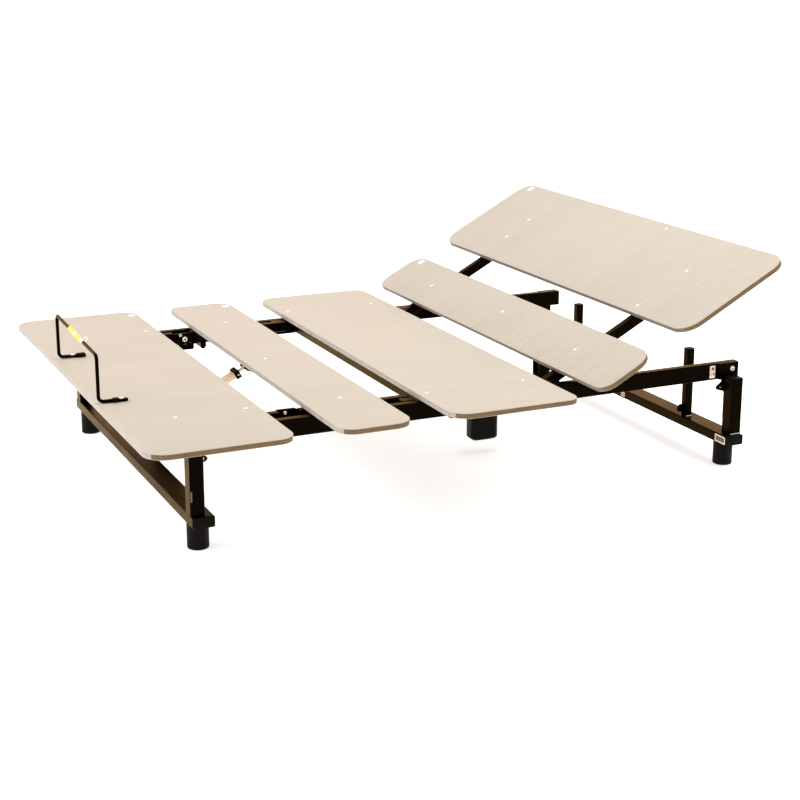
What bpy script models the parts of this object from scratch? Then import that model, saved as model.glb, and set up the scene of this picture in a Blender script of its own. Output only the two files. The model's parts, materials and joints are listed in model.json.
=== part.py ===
"""Adjustable bed base with five deck panels, a raising back section and a raising leg section.

Metres, +Z up. +Y runs from the foot end to the head end and +X is the right-hand side seen from
the foot. Z = 0 is the floor. Distances along the bed are "stations" measured from the foot edge of
the foot panel, and along() turns a station into a Y coordinate. The back section is built flat and
turned up to BACK_REST about its hinge.
"""

import math

import bmesh
import bpy
from mathutils import Matrix, Vector
from mathutils.geometry import tessellate_polygon

# ---------------------------------------------------------------- driving dimensions
HALF_LENGTH = 0.9360          # half of the overall length at rest
DECK_TOP = 0.330              # height of the flat deck surface
BACK_REST = math.radians(28)  # angle of the back section at rest
WELD_GAP = 0.0003             # room between two parts that touch

# Deck panels
DECK_WIDTH = 1.500
BOARD = 0.015
EDGE_ROUND = 0.0015
FOOT_PANEL = (0.000, 0.387)
THIGH_PANEL = (0.505, 0.711)
SEAT_PANEL = (0.822, 1.206)
LUMBAR_PANEL = (0.0366, 0.2192)  # from the back hinge, along the flat back section
HEAD_PANEL = (0.3282, 0.7112)    # from the back hinge, along the flat back section

# Tubes: each section is width x depth
TUBE_WALL = 0.002
TUBE_ROUND = 0.003
RAIL_OUT = 0.540
RAIL_WIDE = 0.025
RAIL_TALL = 0.050
RAIL_ENDS = (0.150, 1.870)
RAIL_TOP = 0.0195                # below the deck surface
ARM_OUT = 0.485
ARM_WIDE = 0.025
ARM_TALL = 0.030
ARM_X = ARM_OUT - ARM_WIDE / 2
BACK_ARM = (-0.022, 0.690)       # span of each arm from its own hinge
THIGH_ARM = (-0.302, 0.016)
FOOT_ARM = (-0.400, -0.036)
KNEE_PLATE_X = (0.4550, 0.4597)
FOOT_PLATE_X = (0.4615, 0.4665)
KNEE_PIN = (0.4505, 0.4705)
CROSS_HALF = ARM_OUT - ARM_WIDE - WELD_GAP

# Hinges: station and depth below the deck surface
HINGE_DEPTH = 0.031
KNEE_DEPTH = 0.036
BACK_HINGE = 1.2528
THIGH_HINGE = 0.798
KNEE_HINGE = 0.470
LINK_HINGE = (0.486, -0.060)     # fixed end of a lower link: station, height from the deck
HINGE_PIN_R = 0.006
HINGE_HOLE_R = 0.0063
LINK_X = (0.4470, 0.4520)
LINK_PIN_R = 0.004
LINK_HOLE_R = 0.0043

# Leg frames
BAR_HALF = 0.600
BAR_DEEP = 0.060
BAR_TALL = 0.030
BAR_LOW = 0.070                  # underside of the bar above the floor
FOOT_BAR = 0.180                 # station of the bar's centre line
HEAD_BAR = 1.828
POST_X = (0.547, 0.590)
POST_DEEP = 0.039
POST_SHIFT = 0.011               # outward from the bar's centre line
POST_DROP = 0.060                # top of a post below the deck surface
PLATE_X = (0.5405, 0.5465)
FOOT_R = 0.029
FOOT_X = 0.548
STUB_X = {"near": 0.367, "far": 0.290}
STUB = 0.025
STUB_STATION = 1.8178
STUB_DROP = 0.0155               # top of a stub post below the deck surface

# Actuators: each lies in a plane of constant X
BACK_ACTUATOR_X = 0.150
LEG_ACTUATOR_X = -0.150
BACK_ANCHOR = (1.106, -0.190)    # station, height from the deck surface
BACK_CRANK = (0.1229, -0.1470)   # from the back hinge, in the flat back section
THIGH_TUBE = 0.640               # station of the thigh section's cross tube
LEG_SLOT = (0.0078, -0.0011, 0.0079, 0.0066)  # offset from the pin, half length and radius
LEG_ANCHOR = (0.239, -0.240)
LEG_CRANK = (0.575, -0.054)
CRANK_GAP = 0.016
CRANK_THICK = 0.004
ACTUATOR_PIN_R = 0.005
ACTUATOR_HOLE_R = 0.0053
SHELL = (0.036, 0.0165)          # width and height of the flat outer tube
BACK_CLAMP = (0.041, 0.0210, 0.011)  # width, height and length of the end clamp
LEG_CLAMP = (0.047, 0.0255, 0.013)
SPINDLE_R = 0.0055
BACK_SHELL = (0.080, 0.232)      # from the anchor pivot along the actuator
LEG_SHELL = (0.105, 0.340)
BACK_TRAVEL = (-0.060, 0.063)    # travel of each spindle from rest
LEG_TRAVEL = (-0.001, 0.112)
MOTOR_LOW = -0.285               # lower end of the back motor, from the deck surface
LEG_MOTOR_HIGH = -0.075

# Mattress retainer
ROD_R = 0.005
RETAINER_X = 0.0065
RETAINER_HALF = 0.252
RETAINER_TALL = 0.127
RETAINER_AT = 0.0155
RETAINER_FOOT = 0.074
RETAINER_BEND = 0.012
RETAINER_SKEW = math.radians(-1.6)

SIDES = (("near", 1), ("far", -1))

# ---------------------------------------------------------------- materials
LOOKS = {
    "panel": ((0.76, 0.66, 0.54), 0.45, 0.0),
    "steel": ((0.016, 0.012, 0.010), 0.35, 0.2),
    "zinc": ((0.62, 0.61, 0.58), 0.35, 0.9),
    "housing": ((0.012, 0.011, 0.011), 0.25, 0.0),
    "cream": ((0.80, 0.74, 0.62), 0.35, 0.0),
    "rod": ((0.55, 0.55, 0.55), 0.2, 1.0),
    "rubber": ((0.02, 0.02, 0.02), 0.8, 0.0),
}


def material(name):
    found = bpy.data.materials.get(name)
    if found:
        return found
    colour, rough, metal = LOOKS[name]
    made = bpy.data.materials.new(name)
    made.use_nodes = True
    shader = made.node_tree.nodes["Principled BSDF"]
    shader.inputs["Base Color"].default_value = (*colour, 1)
    shader.inputs["Roughness"].default_value = rough
    shader.inputs["Metallic"].default_value = metal
    made.diffuse_color = (*colour, 1)
    return made


# ---------------------------------------------------------------- places
def along(station):
    return station - HALF_LENGTH


def deck(depth):
    """Height of a level that lies this far from the deck surface."""
    return DECK_TOP + depth


BACK_AXIS = Vector((0, along(BACK_HINGE), deck(-HINGE_DEPTH)))
THIGH_AXIS = Vector((0, along(THIGH_HINGE), deck(-HINGE_DEPTH)))
KNEE_AXIS = Vector((0, along(KNEE_HINGE), deck(-KNEE_DEPTH)))
LINK_AXIS = Vector((0, along(LINK_HINGE[0]), deck(LINK_HINGE[1])))
KNEE_FROM_THIGH = KNEE_AXIS - THIGH_AXIS
ARM_RISE = KNEE_DEPTH - HINGE_DEPTH  # centre line of a foot arm above the knee axis
TILT = Matrix.Rotation(BACK_REST, 4, "X")


def back_at(y, z):
    """World place of a point of the back section, given from its hinge in the flat position."""
    return BACK_AXIS + TILT @ Vector((0, y, z))


# ---------------------------------------------------------------- building
def finish(name, mesh_maker, look, origin=(0, 0, 0), turn=None, smooth=False):
    """An object whose mesh is made around its origin, which for a moving piece is its axis."""
    mesh = bpy.data.meshes.new(name)
    mesh_maker(mesh)
    mesh.materials.append(material(look))
    obj = bpy.data.objects.new(name, mesh)
    bpy.context.scene.collection.objects.link(obj)
    obj.location = origin
    if turn:
        obj.rotation_euler = (turn, 0, 0)
    if smooth:
        mesh.shade_smooth()
        mesh.set_sharp_from_angle(angle=math.radians(35))
    return obj


def from_bmesh(build):
    def fill(mesh):
        bm = bmesh.new()
        build(bm)
        bmesh.ops.recalc_face_normals(bm, faces=bm.faces)
        bm.to_mesh(mesh)
        bm.free()

    return fill


def rounded(width, height, radius, steps):
    """Outline of a rounded rectangle, anticlockwise from the right-hand side."""
    radii = radius if isinstance(radius, tuple) else (radius,) * 4
    points = []
    for corner, (sx, sy) in enumerate(((1, 1), (-1, 1), (-1, -1), (1, -1))):
        r = radii[corner]
        cx = sx * (width / 2 - r)
        cy = sy * (height / 2 - r)
        for step in range(steps + 1):
            angle = math.pi / 2 * (corner + step / steps)
            points.append((cx + r * math.cos(angle), cy + r * math.sin(angle)))
    return points


def loft(bm, rings):
    """Closed rings of equal length joined one after another, with the two ends left open."""
    rows = [[bm.verts.new(point) for point in ring] for ring in rings]
    count = len(rows[0])
    for low, high in zip(rows, rows[1:]):
        for i in range(count):
            j = (i + 1) % count
            bm.faces.new((low[i], low[j], high[j], high[i]))
    return rows


def spread(outline, place):
    return [place(u, v) for u, v in outline]


AXIS_PLACES = {
    "X": lambda at, t: (lambda u, v: (at[0] + t, at[1] + u, at[2] + v)),
    "Y": lambda at, t: (lambda u, v: (at[0] + u, at[1] + t, at[2] + v)),
    "Z": lambda at, t: (lambda u, v: (at[0] + u, at[1] + v, at[2] + t)),
}


def tube(bm, axis, at, span, wide, tall, wall=TUBE_WALL):
    """Open-ended rectangular tube along an axis from span[0] to span[1]."""
    outer = rounded(wide, tall, TUBE_ROUND, 2)
    inner = rounded(wide - 2 * wall, tall - 2 * wall, max(TUBE_ROUND - wall, 0.0004), 2)
    place = AXIS_PLACES[axis]
    ends = [place(at, t) for t in span]
    rings = [
        spread(outer, ends[0]),
        spread(outer, ends[1]),
        spread(inner, ends[1]),
        spread(inner, ends[0]),
    ]
    rings.append(rings[0])
    loft(bm, rings)
    bmesh.ops.remove_doubles(bm, verts=bm.verts, dist=1e-6)


def prism(bm, axis, at, span, outline, bevel=0.0):
    """Solid of a convex outline along an axis, with its two end edges chamfered by bevel."""
    place = AXIS_PLACES[axis]
    low, high = span
    shrink = [(u, v) for u, v in outline]
    if bevel:
        reach_u = max(abs(u) for u, _ in outline)
        reach_v = max(abs(v) for _, v in outline)
        shrink = [(u * (1 - bevel / reach_u), v * (1 - bevel / reach_v)) for u, v in outline]
        rings = [
            spread(shrink, place(at, low)),
            spread(outline, place(at, low + bevel)),
            spread(outline, place(at, high - bevel)),
            spread(shrink, place(at, high)),
        ]
    else:
        rings = [spread(outline, place(at, low)), spread(outline, place(at, high))]
    rows = loft(bm, rings)
    bm.faces.new(rows[0])
    bm.faces.new(rows[-1])


def circle(radius, steps=24, centre=(0, 0)):
    points = []
    for step in range(steps):
        angle = 2 * math.pi * step / steps
        points.append((centre[0] + radius * math.cos(angle), centre[1] + radius * math.sin(angle)))
    return points


def sheet(bm, axis, at, span, outline, holes=()):
    """Flat plate of any outline, with holes given as outlines."""
    loops = [list(outline), *holes]
    flat = [point for ring in loops for point in ring]
    triangles = tessellate_polygon([[Vector((u, v, 0)) for u, v in ring] for ring in loops])
    place = AXIS_PLACES[axis]
    sides = [[bm.verts.new(place(at, t)(u, v)) for u, v in flat] for t in span]
    for a, b, c in triangles:
        for verts in sides:
            bm.faces.new((verts[a], verts[b], verts[c]))
    first = 0
    for ring in loops:
        for i in range(len(ring)):
            j = first + (i + 1) % len(ring)
            i += first
            bm.faces.new((sides[0][i], sides[0][j], sides[1][j], sides[1][i]))
        first += len(ring)


def slot(centre, half, radius, steps=8):
    """Outline of a slot along the first coordinate, half long from centre to either arc centre."""
    points = []
    for side, start in ((1, -math.pi / 2), (-1, math.pi / 2)):
        for step in range(steps + 1):
            angle = start + math.pi * step / steps
            points.append((centre[0] + side * half + radius * math.cos(angle),
                           centre[1] + radius * math.sin(angle)))
    return points


def rod(bm, points, radius, sides=10):
    """Round bar through a line of points, mitred at each."""
    points = [Vector(p) for p in points]
    ways = [(b - a).normalized() for a, b in zip(points, points[1:])]
    frame = ways[0].orthogonal().normalized()
    rings = []
    for i, point in enumerate(points):
        before = ways[max(i - 1, 0)]
        after = ways[min(i, len(ways) - 1)]
        mean = (before + after).normalized()
        frame = (frame - mean * frame.dot(mean)).normalized()
        other = mean.cross(frame)
        ring = []
        for side in range(sides):
            angle = 2 * math.pi * side / sides
            flat = frame * math.cos(angle) + other * math.sin(angle)
            ring.append(point + flat * radius)
        rings.append(ring)
    rows = loft(bm, rings)
    bm.faces.new(rows[0])
    bm.faces.new(rows[-1])


def bend(corner, before, after, radius, steps=4):
    """Points of a round bend at a corner between two directions at right angles."""
    centre = corner - before * radius + after * radius
    points = []
    for step in range(steps + 1):
        angle = math.pi / 2 * step / steps
        points.append(centre - after * radius * math.cos(angle) + before * radius * math.sin(angle))
    return points


def cut(obj, name, build, operation="DIFFERENCE"):
    """Exact Boolean with a hidden helper that shares the object's placing."""
    helper = finish(name, from_bmesh(build), "steel", obj.location, obj.rotation_euler[0])
    helper.hide_render = True
    helper.display_type = "WIRE"
    step = obj.modifiers.new(name, "BOOLEAN")
    step.operation = operation
    step.object = helper
    step.solver = "EXACT"


# ---------------------------------------------------------------- deck panels
def panel(name, span, level, origin, turn, corners):
    """Board with rounded corners: corners are headward right, headward left, footward left, right."""
    low, high = span
    outline = rounded(DECK_WIDTH, high - low, corners, 7)
    place = (0, (low + high) / 2, level)
    return finish(
        name,
        from_bmesh(lambda bm: prism(bm, "Z", place, (0, BOARD), outline, EDGE_ROUND)),
        "panel",
        origin,
        turn,
        True,
    )


def flat_span(span, hinge):
    return (span[0] - hinge, span[1] - hinge)


def deck_panels():
    under = HINGE_DEPTH - BOARD
    panel("foot_panel", flat_span(FOOT_PANEL, KNEE_HINGE), under + ARM_RISE, KNEE_AXIS, 0,
          (0.050, 0.050, 0.060, 0.060))
    panel("thigh_panel", flat_span(THIGH_PANEL, THIGH_HINGE), under, THIGH_AXIS, 0,
          (0.055, 0.055, 0.045, 0.045))
    seat_at = Vector((0, along(0), deck(-BOARD)))
    panel("seat_panel", SEAT_PANEL, 0, seat_at, 0, (0.040, 0.040, 0.060, 0.060))
    under_back = HINGE_DEPTH + 0.001 - BOARD
    panel("lumbar_panel", LUMBAR_PANEL, under_back, BACK_AXIS, BACK_REST,
          (0.060, 0.060, 0.045, 0.045))
    panel("head_panel", HEAD_PANEL, under_back, BACK_AXIS, BACK_REST,
          (0.055, 0.055, 0.060, 0.060))


# ---------------------------------------------------------------- fixed base
def side_rail(side, sign):
    at = (sign * (RAIL_OUT - RAIL_WIDE / 2), 0, deck(-RAIL_TOP - RAIL_TALL / 2))
    span = (along(RAIL_ENDS[0]), along(RAIL_ENDS[1]))
    finish(f"side_rail_{side}",
           from_bmesh(lambda bm: tube(bm, "Y", at, span, RAIL_WIDE, RAIL_TALL)), "steel")


def base_tube(name, station):
    reach = RAIL_OUT - RAIL_WIDE - WELD_GAP
    at = (0, along(station), deck(-RAIL_TOP - 0.001 - 0.020))
    finish(name, from_bmesh(lambda bm: tube(bm, "X", at, (-reach, reach), 0.040, 0.040)), "steel")


def leg_bar(name, station):
    at = (0, along(station), BAR_LOW + BAR_TALL / 2)
    span = (-BAR_HALF, BAR_HALF)
    finish(name, from_bmesh(lambda bm: tube(bm, "X", at, span, BAR_DEEP, BAR_TALL)), "steel")


def leg_post(end, side, sign, station):
    at = (sign * sum(POST_X) / 2, along(station), 0)
    span = (BAR_LOW + BAR_TALL + WELD_GAP, deck(-POST_DROP))
    wide = POST_X[1] - POST_X[0]
    finish(f"post_{end}_{side}",
           from_bmesh(lambda bm: tube(bm, "Z", at, span, wide, POST_DEEP)), "steel")


def post_plate(end, side, sign, station, inward):
    """Plate between rail and post, with a lug that points to the middle of the bed."""
    profile = [
        (0.031, -RAIL_TOP), (-0.038, -RAIL_TOP), (-0.038, -0.068), (-0.027, -0.0692),
        (-0.0245, -0.0720), (-0.0259, -0.0774), (-0.0397, -0.0869), (-0.0440, -0.0915),
        (-0.0430, -0.0975), (-0.0356, -0.1013), (-0.0227, -0.1041), (-0.0141, -0.1092),
        (-0.0140, -0.1900), (0.0140, -0.1900), (0.0140, -0.0670), (0.0310, -0.0670),
    ]
    outline = [(-inward * u, v) for u, v in profile]
    holes = (circle(0.0030, 12, (inward * 0.0304, -0.0924)),
             circle(0.0054, 16, (-inward * 0.009, -0.0385)))
    at = (0, along(station), DECK_TOP)
    span = tuple(sign * x for x in PLATE_X)
    finish(f"plate_{end}_{side}",
           from_bmesh(lambda bm: sheet(bm, "X", at, span, outline, holes)), "steel")


def foot_pad(end, side, sign, station):
    at = (sign * FOOT_X, along(station), 0)
    span = (0, BAR_LOW - WELD_GAP)
    finish(f"foot_{end}_{side}",
           from_bmesh(lambda bm: prism(bm, "Z", at, span, circle(FOOT_R, 32), 0.002)),
           "rubber", smooth=True)


def stub_post(side, sign):
    """Upright rest on the head bar with a small hook plate welded to its foot side."""
    x = sign * STUB_X[side]
    at = (x, along(STUB_STATION), 0)
    span = (BAR_LOW + BAR_TALL + WELD_GAP, deck(-STUB_DROP))
    post = finish(f"stub_post_{side}", from_bmesh(lambda bm: tube(bm, "Z", at, span, STUB, STUB)),
                  "steel")
    foot = BAR_LOW + BAR_TALL + WELD_GAP - DECK_TOP
    hook = [
        (0.0010, foot), (0.0010, -0.194), (-0.0190, -0.1937), (-0.0320, -0.1915), (-0.0375, -0.1930),
        (-0.0420, -0.1970), (-0.0450, -0.2030), (-0.0445, -0.2120), (-0.0383, -0.2148),
        (-0.0290, -0.2163), (-0.0279, foot),
    ]
    base = (0, along(HEAD_BAR), DECK_TOP)
    cut(post, f"stub_hook_{side}",
        lambda bm: sheet(bm, "X", base, (x - 0.0025, x + 0.0025), hook), "UNION")


def hinge_stud(name, sign, axis):
    """Block welded inside the rail, with the round stud and nut that a side arm turns on."""
    inner = ARM_OUT + 0.0030
    outer = RAIL_OUT - RAIL_WIDE - WELD_GAP
    span = (sign * inner, sign * outer)
    outline = [(-0.020, -0.022), (0.020, -0.022), (0.020, 0.013), (-0.020, 0.013)]
    boss = finish(name, from_bmesh(lambda bm: sheet(bm, "X", (0, 0, 0), span, outline)),
                  "steel", axis)
    stud = (sign * 0.4545, sign * 0.5000)
    cut(boss, f"{name}_stud",
        lambda bm: prism(bm, "X", (0, 0, 0), stud, circle(HINGE_PIN_R)), "UNION")
    nut = (sign * 0.4515, sign * 0.4580)
    cut(boss, f"{name}_nut",
        lambda bm: prism(bm, "X", (0, 0, 0), nut, circle(0.0095, 6)), "UNION")


def hinge_pin(name, sign, axis, span):
    """Bolt of the knee hinge with its nut at the inner end."""
    inner, outer = span
    pin = finish(name, from_bmesh(lambda bm: prism(
        bm, "X", (0, 0, 0), (sign * inner, sign * outer), circle(HINGE_PIN_R))),
        "zinc", axis, smooth=True)
    nut = (sign * (inner - 0.003), sign * (inner + 0.0035))
    cut(pin, f"{name}_nut",
        lambda bm: prism(bm, "X", (0, 0, 0), nut, circle(0.0095, 6)), "UNION")


def link_anchor(side, sign):
    """Bracket inside the rail with two lugs below the knee: the foot-side one holds a lower link."""
    wall = RAIL_OUT - RAIL_WIDE - WELD_GAP
    plate = [(-0.020, -0.008), (0.060, -0.008), (0.060, 0.028), (-0.020, 0.028)]
    block = [(-0.009, -0.007), (-0.006, -0.011), (0.010, -0.011), (0.014, -0.007), (0.014, 0.011),
             (-0.009, 0.011)]
    lug = [(0.038, -0.010), (0.043, -0.014), (0.050, -0.014), (0.056, -0.006), (0.056, 0.009),
           (0.037, 0.009)]
    hole = (circle(LINK_HOLE_R, 16),)

    def piece(outline, inner, outer, holes=()):
        span = (sign * inner, sign * outer)
        return from_bmesh(lambda bm: sheet(bm, "X", (0, 0, 0), span, outline, holes))

    bracket = finish(f"link_anchor_{side}", piece(block, LINK_X[1] + 0.0035, wall - 0.004, hole),
                     "steel", LINK_AXIS)
    cut(bracket, f"link_plate_{side}", lambda bm: sheet(
        bm, "X", (0, 0, 0), (sign * (wall - 0.006), sign * wall), plate), "UNION")
    cut(bracket, f"link_stop_{side}", lambda bm: sheet(
        bm, "X", (0, 0, 0), (sign * 0.4600, sign * (wall - 0.004)), lug), "UNION")


def clevis(name, x, plate, holes, web, origin, turn=0, pin=None):
    """Two plates either side of the plane X = x joined by a web, with a cross pin if one is given."""
    def side_plate(bm, low, high):
        sheet(bm, "X", (x, 0, 0), (low, high), plate, holes)

    outer = CRANK_GAP + CRANK_THICK
    obj = finish(name, from_bmesh(lambda bm: side_plate(bm, -outer, -CRANK_GAP)),
                 "steel", origin, turn)
    cut(obj, f"{name}_side", lambda bm: side_plate(bm, CRANK_GAP, outer), "UNION")
    reach = CRANK_GAP + CRANK_THICK / 2
    cut(obj, f"{name}_web", lambda bm: prism(bm, "X", (x, 0, 0), (-reach, reach), web), "UNION")
    if pin:
        cut(obj, f"{name}_pin", lambda bm: prism(
            bm, "X", (x, *pin), (-outer - 0.002, outer + 0.002), circle(ACTUATOR_PIN_R, 16)), "UNION")
    return obj


def anchors():
    """Fixed brackets that carry the rear pivots of the two actuators."""
    origin = Vector((0, along(BACK_ANCHOR[0]), deck(BACK_ANCHOR[1])))
    top = deck(-RAIL_TOP - 0.001 - 0.040) - WELD_GAP - origin.z
    plate = [(-0.014, -0.008), (-0.006, -0.014), (0.006, -0.014), (0.014, -0.008),
             (0.018, top), (-0.022, top)]
    web = [(-0.021, top - 0.004), (0.017, top - 0.004), (0.017, top), (-0.021, top)]
    clevis("back_anchor", BACK_ACTUATOR_X, plate, (), web, origin, 0, (0, 0))
    origin = Vector((0, along(LEG_ANCHOR[0]), deck(LEG_ANCHOR[1])))
    back = along(FOOT_BAR) + BAR_DEEP / 2 + WELD_GAP - origin.y
    plate = [(back, -0.016), (0.006, -0.012), (0.012, -0.006), (0.012, 0.006), (0.006, 0.012),
             (back, 0.010)]
    web = [(back, -0.015), (back + 0.004, -0.015), (back + 0.004, 0.009), (back, 0.009)]
    clevis("leg_anchor", LEG_ACTUATOR_X, plate, (), web, origin, 0, (0, 0))


def fixed_base():
    for side, sign in SIDES:
        side_rail(side, sign)
        for end, station, inward in (("foot", FOOT_BAR, 1), ("head", HEAD_BAR, -1)):
            post_at = station - inward * POST_SHIFT
            leg_post(end, side, sign, post_at)
            post_plate(end, side, sign, post_at, inward)
            foot_pad(end, side, sign, station)
        stub_post(side, sign)
        hinge_stud(f"back_stud_{side}", sign, BACK_AXIS)
        hinge_stud(f"thigh_stud_{side}", sign, THIGH_AXIS)
        link_anchor(side, sign)
    base_tube("base_tube_foot", 0.876)
    base_tube("base_tube_head", 1.100)
    leg_bar("leg_bar_foot", FOOT_BAR)
    leg_bar("leg_bar_head", HEAD_BAR)
    anchors()


# ---------------------------------------------------------------- moving sections
def arm(name, sign, span, origin, turn=0, rise=0):
    """Side arm of a section, along Y above its hinge by rise, with a hole where it meets the hinge."""
    at = (sign * ARM_X, 0, rise)
    obj = finish(name, from_bmesh(lambda bm: tube(bm, "Y", at, span, ARM_WIDE, ARM_TALL)),
                 "steel", origin, turn)
    if span[0] < 0 < span[1]:
        cut(obj, f"{name}_hole",
            lambda bm: prism(bm, "X", (sign * ARM_X, 0, 0), (-0.05, 0.05), circle(HINGE_HOLE_R)))
    return obj


def section_tube(name, y, origin, turn=0, rise=0):
    at = (0, y, rise)
    span = (-CROSS_HALF, CROSS_HALF)
    finish(name, from_bmesh(lambda bm: tube(bm, "X", at, span, 0.030, ARM_TALL)),
           "steel", origin, turn)


def back_section():
    for side, sign in SIDES:
        arm(f"back_arm_{side}", sign, BACK_ARM, BACK_AXIS, BACK_REST)
    section_tube("lumbar_tube", 0.1960, BACK_AXIS, BACK_REST)
    section_tube("head_tube", 0.5150, BACK_AXIS, BACK_REST)
    back_crank()


def back_crank():
    """Lever under the lumbar tube. It is upright at rest, and its slot takes the actuator pin."""
    pin = Vector(BACK_CRANK)
    down = Vector((-math.sin(BACK_REST), -math.cos(BACK_REST)))
    across = Vector((-down.y, down.x))
    top = -ARM_TALL / 2 - WELD_GAP
    rise = (top - pin.y) / -down.y

    def at(lift, side):
        return tuple(pin - down * lift + across * side)

    plate = [at(-0.014, -0.026), at(-0.020, -0.016), at(-0.020, 0.014), at(-0.004, 0.028),
             at(rise * 0.75, 0.030), (0.2105, top), (0.1560, top)]
    web = [(0.1600, top - 0.024), (0.1640, top - 0.024), (0.1640, top - 0.001),
           (0.1600, top - 0.001)]
    hole = slot((pin.x + 0.0057, pin.y - 0.0014), 0.0057, 0.0079)
    clevis("back_crank", BACK_ACTUATOR_X, plate, (hole,), web, BACK_AXIS, BACK_REST)


def thigh_section():
    for side, sign in SIDES:
        beam = arm(f"thigh_arm_{side}", sign, THIGH_ARM, THIGH_AXIS)
        knee_plate(beam, side, sign)
    section_tube("thigh_tube", THIGH_TUBE - THIGH_HINGE, THIGH_AXIS)
    thigh_crank()


def knee_plate(beam, side, sign):
    """Plate inside a thigh arm that reaches over the knee pin, with the weld that holds it."""
    low, high = KNEE_PLATE_X
    outline = [
        (-0.036, -0.007), (-0.030, -0.014), (0.110, -0.007), (0.110, 0.0165), (0.023, 0.0165),
        (0.018, 0.0200), (-0.034, 0.0205), (-0.039, 0.015),
    ]
    weld = [(0.060, -0.006), (0.105, -0.006), (0.105, 0.011), (0.060, 0.011)]
    hole = (circle(HINGE_HOLE_R, 20),)
    cut(beam, f"knee_weld_{side}", lambda bm: prism(
        bm, "X", KNEE_FROM_THIGH, (sign * (high - 0.0012), sign * (high + 0.0018)), weld), "UNION")
    cut(beam, f"knee_plate_{side}", lambda bm: sheet(
        bm, "X", KNEE_FROM_THIGH, (sign * low, sign * high), outline, hole), "UNION")


def thigh_crank():
    """Small lever under the thigh tube, with a slot for the actuator pin."""
    pin = Vector((LEG_CRANK[0] - THIGH_HINGE, LEG_CRANK[1] + HINGE_DEPTH))
    tube_at = THIGH_TUBE - THIGH_HINGE
    under = -ARM_TALL / 2 - WELD_GAP
    front = tube_at - 0.015 - WELD_GAP
    plate = [(pin.x - 0.0235, pin.y - 0.0065), (pin.x - 0.012, pin.y - 0.0155),
             (pin.x + 0.004, pin.y - 0.021), (pin.x + 0.034, pin.y - 0.015),
             (tube_at + 0.014, under - 0.008), (tube_at + 0.014, under), (front, under),
             (front, 0.008), (pin.x - 0.006, 0.004), (pin.x - 0.015, pin.y + 0.010)]
    web = [(tube_at - 0.012, under - 0.005), (tube_at + 0.012, under - 0.005),
           (tube_at + 0.012, under - 0.001), (tube_at - 0.012, under - 0.001)]
    hole = slot((pin.x + LEG_SLOT[0], pin.y + LEG_SLOT[1]), LEG_SLOT[2], LEG_SLOT[3])
    clevis("thigh_crank", LEG_ACTUATOR_X, plate, (hole,), web, THIGH_AXIS)


def foot_section():
    for side, sign in SIDES:
        beam = arm(f"foot_arm_{side}", sign, FOOT_ARM, KNEE_AXIS, 0, ARM_RISE)
        foot_plate(beam, side, sign)
        foot_lug(beam, side, sign)
        hinge_pin(f"knee_pin_{side}", sign, KNEE_AXIS, KNEE_PIN)
    section_tube("foot_tube", -0.120, KNEE_AXIS, 0, ARM_RISE)
    retainer()


def foot_plate(beam, side, sign):
    """Plate inside the open end of a foot arm that carries the knee pin."""
    low, high = FOOT_PLATE_X
    outline = [
        (-0.130, -0.007), (-0.040, -0.007), (-0.032, -0.010), (0.008, -0.012), (0.014, -0.004),
        (0.013, 0.006), (0.004, 0.0165), (-0.022, 0.0175), (-0.034, 0.0165), (-0.130, 0.016),
    ]
    hole = (circle(HINGE_HOLE_R, 20),)
    cut(beam, f"foot_plate_{side}", lambda bm: sheet(
        bm, "X", (0, 0, 0), (sign * low, sign * high), outline, hole), "UNION")


def foot_lug(beam, side, sign):
    """Lug under the foot end of a foot arm for the lower link's pin."""
    at = LINK_AXIS + KNEE_FROM_THIGH - KNEE_AXIS
    top = ARM_RISE - ARM_TALL / 2 + TUBE_WALL / 2 - at.z
    outline = [(-0.010, -0.003), (-0.006, -0.009), (0.006, -0.009), (0.010, -0.003), (0.012, top),
               (-0.012, top)]
    span = (sign * 0.4625, sign * 0.4825)
    hole = (circle(LINK_HOLE_R, 16),)
    cut(beam, f"link_lug_{side}", lambda bm: sheet(bm, "X", at, span, outline, hole), "UNION")


def retainer():
    """Bent rod that stands on the foot panel and keeps the mattress from sliding off."""
    turn = Matrix.Rotation(RETAINER_SKEW, 3, "Z")
    ahead = turn @ Vector((0, 1, 0))
    up = Vector((0, 0, 1))
    right = turn @ Vector((1, 0, 0))
    level = deck(ROD_R + WELD_GAP) - KNEE_AXIS.z
    start = along(RETAINER_AT) - KNEE_AXIS.y
    middle = Vector((RETAINER_X, start, level))
    corners = [middle + right * sign * RETAINER_HALF for sign in (-1, 1)]
    tops = [corner + up * RETAINER_TALL for corner in corners]
    points = [corners[0] + ahead * RETAINER_FOOT]
    points += bend(corners[0], -ahead, up, RETAINER_BEND)
    points += bend(tops[0], up, right, RETAINER_BEND)
    points += bend(tops[1], right, -up, RETAINER_BEND)
    points += bend(corners[1], -up, ahead, RETAINER_BEND)
    points.append(corners[1] + ahead * RETAINER_FOOT)
    finish("retainer_bar", from_bmesh(lambda bm: rod(bm, points, ROD_R)), "steel", KNEE_AXIS,
           smooth=True)


def lower_link(side, sign):
    """Flat bar parallel to a thigh arm, with a rivet pin at each end that points outward."""
    tip = KNEE_FROM_THIGH
    r = 0.008
    arc = [(r * math.sin(math.pi * k / 8), -r * math.cos(math.pi * k / 8)) for k in range(9)]
    bar = arc + [(tip.y - u, tip.z - v) for u, v in arc]
    inner, outer = LINK_X
    obj = finish(f"lower_link_{side}", from_bmesh(
        lambda bm: sheet(bm, "X", (0, 0, 0), (sign * inner, sign * outer), bar)),
        "steel", LINK_AXIS)
    for end, at in (("base", Vector()), ("tip", tip)):
        cut(obj, f"lower_link_{side}_{end}", lambda bm: prism(
            bm, "X", at, (sign * (outer - 0.002), sign * 0.4810), circle(LINK_PIN_R, 16)), "UNION")


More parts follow.
